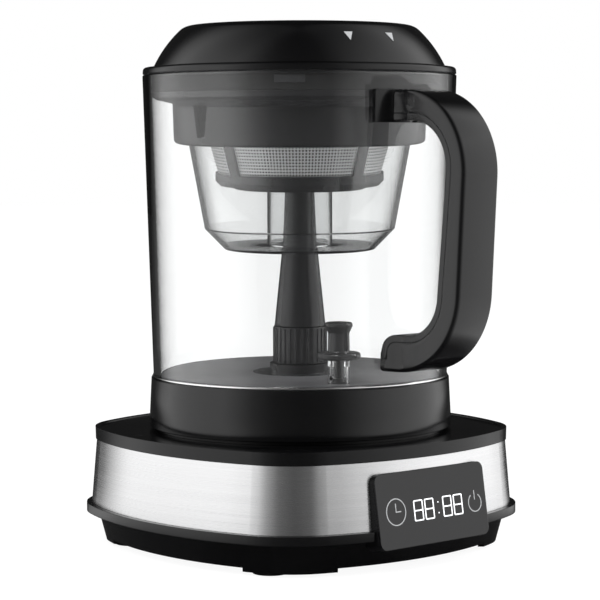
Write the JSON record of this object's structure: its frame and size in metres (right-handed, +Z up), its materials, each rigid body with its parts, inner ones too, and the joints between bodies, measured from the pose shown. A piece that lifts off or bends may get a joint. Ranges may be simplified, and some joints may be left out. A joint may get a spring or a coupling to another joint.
{
  "type": "cold brew coffee maker",
  "caption": "Electric cold brew coffee maker: lit square base with a magnet drive, glass carafe with side handle and pump, hanging brew cup with filter, and a domed lid.",
  "frame": {"origin": "centre of the footprint of the whole object, handle included, at the height of the feet's undersides", "axes": "+Z up along the carafe's axis, -Y to the front, where the display and the handle are, +X to the right seen from the front"},
  "size_m": [0.1806, 0.2048, 0.2393],
  "materials": {
    "gloss_black": "polished black plastic",
    "window_black": "polished black display front",
    "matte_black": "fine matt black plastic",
    "dark_plastic": "dark grey plastic, satin",
    "grey_plastic": "mid grey plastic, satin",
    "white_plastic": "white plastic",
    "brushed_steel": "brushed along the band",
    "mesh_steel": "perforated steel sheet",
    "screw_steel": "plated screws",
    "motor_steel": "plain steel",
    "magnet": "nickel plated magnets",
    "rubber": "matt black rubber",
    "glass": "clear glass",
    "clear_plastic": "clear plastic",
    "legend_white": "lit white segments",
    "legend_grey": "light grey print",
    "circuit_board": "green circuit board",
    "ribbon": "grey ribbon cable"
  },
  "bodies": {
    "base": {"lower_housing": "gloss_black", "steel_band": "brushed_steel", "tray": "gloss_black", "bottom_cover": "matte_black", "rubber_feet": "rubber", "base_screws": "screw_steel", "panel_window": "window_black", "panel_housing": "gloss_black", "panel_digits": "legend_white", "panel_icons": "legend_grey", "display_board": "circuit_board", "control_board": "circuit_board", "board_screws": "screw_steel", "board_cable": "ribbon", "motor": "motor_steel", "motor_bracket": "motor_steel", "motor_screws": "screw_steel", "bracket_screws": "screw_steel", "power_inlet": "matte_black", "inlet_nut": "screw_steel"},
    "drive": {"motor_shaft": "motor_steel", "drive_rotor": "matte_black", "drive_magnets": "magnet"},
    "carafe": {"carafe_glass": "glass", "carafe_ring": "gloss_black", "pump_floor": "grey_plastic", "floor_seal": "rubber", "pump_cover": "grey_plastic", "carafe_bottom": "matte_black", "carafe_screws": "screw_steel", "impeller_pin": "motor_steel", "valve_barrel": "clear_plastic", "handle_outer": "gloss_black", "handle_inner": "gloss_black", "handle_bracket": "gloss_black", "handle_screws": "screw_steel"},
    "impeller": {"impeller": "white_plastic", "impeller_magnets": "magnet"},
    "column": {"pump_collar": "dark_plastic", "flow_column": "dark_plastic"},
    "valve": {"valve_knob": "dark_plastic", "valve_seal": "rubber"},
    "insert": {"basket_holder": "dark_plastic", "rim_seal": "rubber", "brew_cup": "clear_plastic", "spray_head": "dark_plastic"},
    "filter": {"filter_frame": "dark_plastic", "filter_mesh": "mesh_steel"},
    "lid": {"lid_ring": "gloss_black", "lid_gasket": "rubber"},
    "dome": {"lid_dome": "gloss_black", "lid_marks": "legend_grey"}
  },
  "joints": [
    {"name": "drive_spin", "type": "hinge", "parent": "base", "child": "drive", "pos_m": [0, 0.0121, 0.054], "axis": [0, 0, 1], "continuous": true},
    {"name": "carafe_lift", "type": "slide", "parent": "base", "child": "carafe", "axis": [0, 0, 1], "range_m": [0, 0.06]},
    {"name": "impeller_spin", "type": "hinge", "parent": "carafe", "child": "impeller", "pos_m": [0, 0.0121, 0.07], "axis": [0, 0, 1], "continuous": true},
    {"name": "column_twist", "type": "hinge", "parent": "carafe", "child": "column", "pos_m": [0, 0.0121, 0.09], "axis": [0, 0, 1], "range_deg": [0, 45]},
    {"name": "valve_lift", "type": "slide", "parent": "carafe", "child": "valve", "axis": [0, 0, 1], "range_m": [0, 0.0045]},
    {"name": "insert_lift", "type": "slide", "parent": "carafe", "child": "insert", "axis": [0, 0, 1], "range_m": [0, 0.09]},
    {"name": "filter_lift", "type": "slide", "parent": "insert", "child": "filter", "axis": [0, 0, 1], "range_m": [0, 0.05]},
    {"name": "lid_lift", "type": "slide", "parent": "filter", "child": "lid", "axis": [0, 0, 1], "range_m": [0, 0.05]},
    {"name": "dome_turn", "type": "hinge", "parent": "lid", "child": "dome", "pos_m": [0, 0.0121, 0.22], "axis": [0, 0, 1], "range_deg": [0, 21]}
  ],
  "couplings": [
    {"joint": "impeller_spin", "follows": "drive_spin", "ratio": 1}
  ]
}
